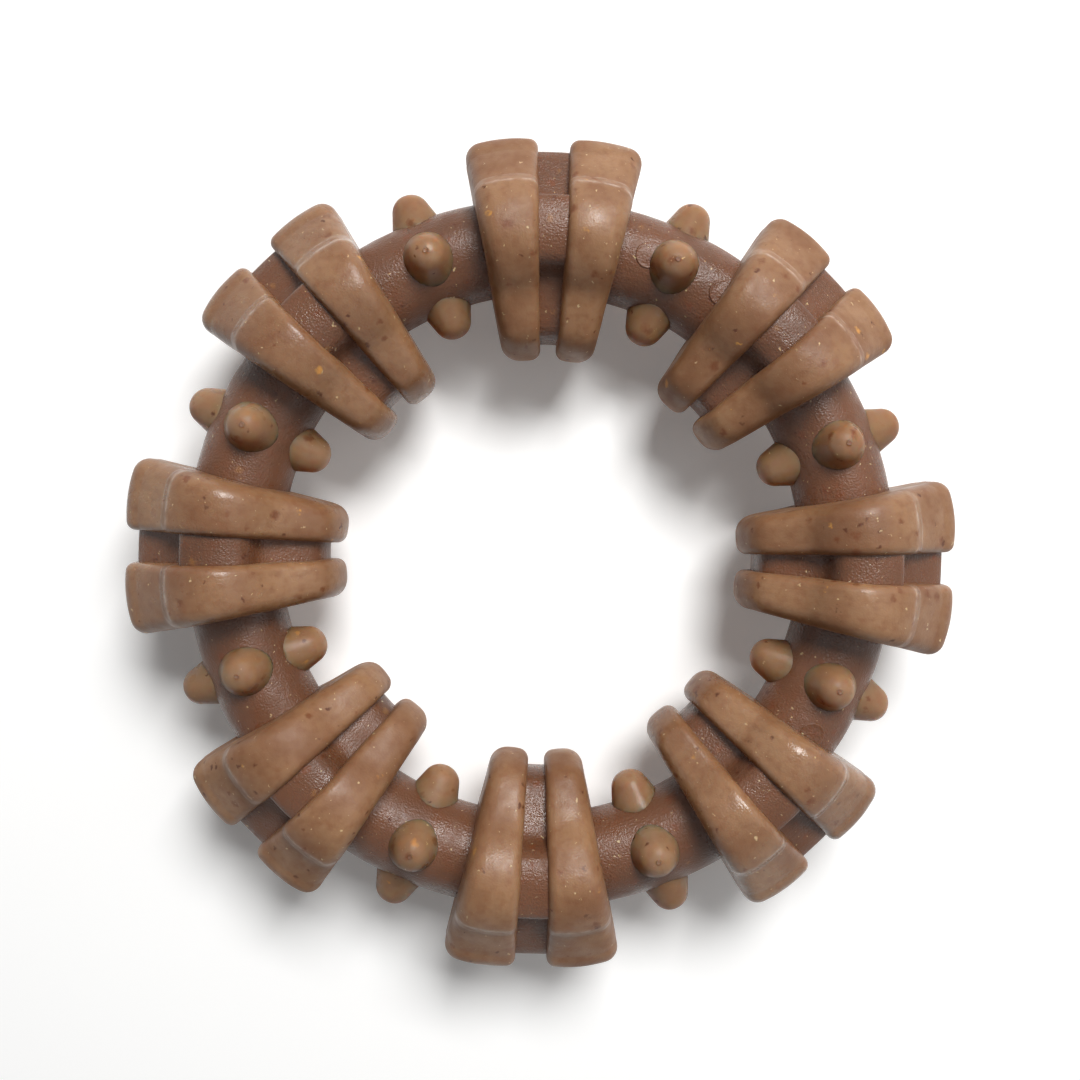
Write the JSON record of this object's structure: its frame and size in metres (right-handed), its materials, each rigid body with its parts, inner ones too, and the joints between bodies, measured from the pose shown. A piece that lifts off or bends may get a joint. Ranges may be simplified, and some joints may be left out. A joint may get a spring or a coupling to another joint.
{
  "type": "chew ring",
  "caption": "Ring-shaped nylon dog chew with paired raised ribs round a tube and blunt nubs between the pairs, for gnawing and carrying.",
  "frame": {"origin": "the ring's centre, on its axis at mid-thickness", "axes": "+Z along the ring's axis; +Y towards the middle of the first pair of ribs, which is at the top of the picture"},
  "size_m": [0.1264, 0.1264, 0.0316],
  "materials": {
    "core_nylon": "fine-grained, matt, greyish brown nylon with specks",
    "rib_nylon": "smoother, satin, warm tan nylon with specks",
    "nub_nylon": "smooth, satin, slightly translucent warm tan nylon"
  },
  "bodies": {
    "root": {"core_ring": "core_nylon", "rib_band_1_left": "rib_nylon", "rib_band_1_right": "rib_nylon", "rib_band_2_left": "rib_nylon", "rib_band_2_right": "rib_nylon", "rib_band_3_left": "rib_nylon", "rib_band_3_right": "rib_nylon", "rib_band_4_left": "rib_nylon", "rib_band_4_right": "rib_nylon", "rib_band_5_left": "rib_nylon", "rib_band_5_right": "rib_nylon", "rib_band_6_left": "rib_nylon", "rib_band_6_right": "rib_nylon", "rib_band_7_left": "rib_nylon", "rib_band_7_right": "rib_nylon", "rib_band_8_left": "rib_nylon", "rib_band_8_right": "rib_nylon", "nub_cross_1": "nub_nylon", "nub_cross_2": "nub_nylon", "nub_cross_3": "nub_nylon", "nub_cross_4": "nub_nylon", "nub_cross_5": "nub_nylon", "nub_cross_6": "nub_nylon", "nub_cross_7": "nub_nylon", "nub_cross_8": "nub_nylon"}
  },
  "joints": []
}
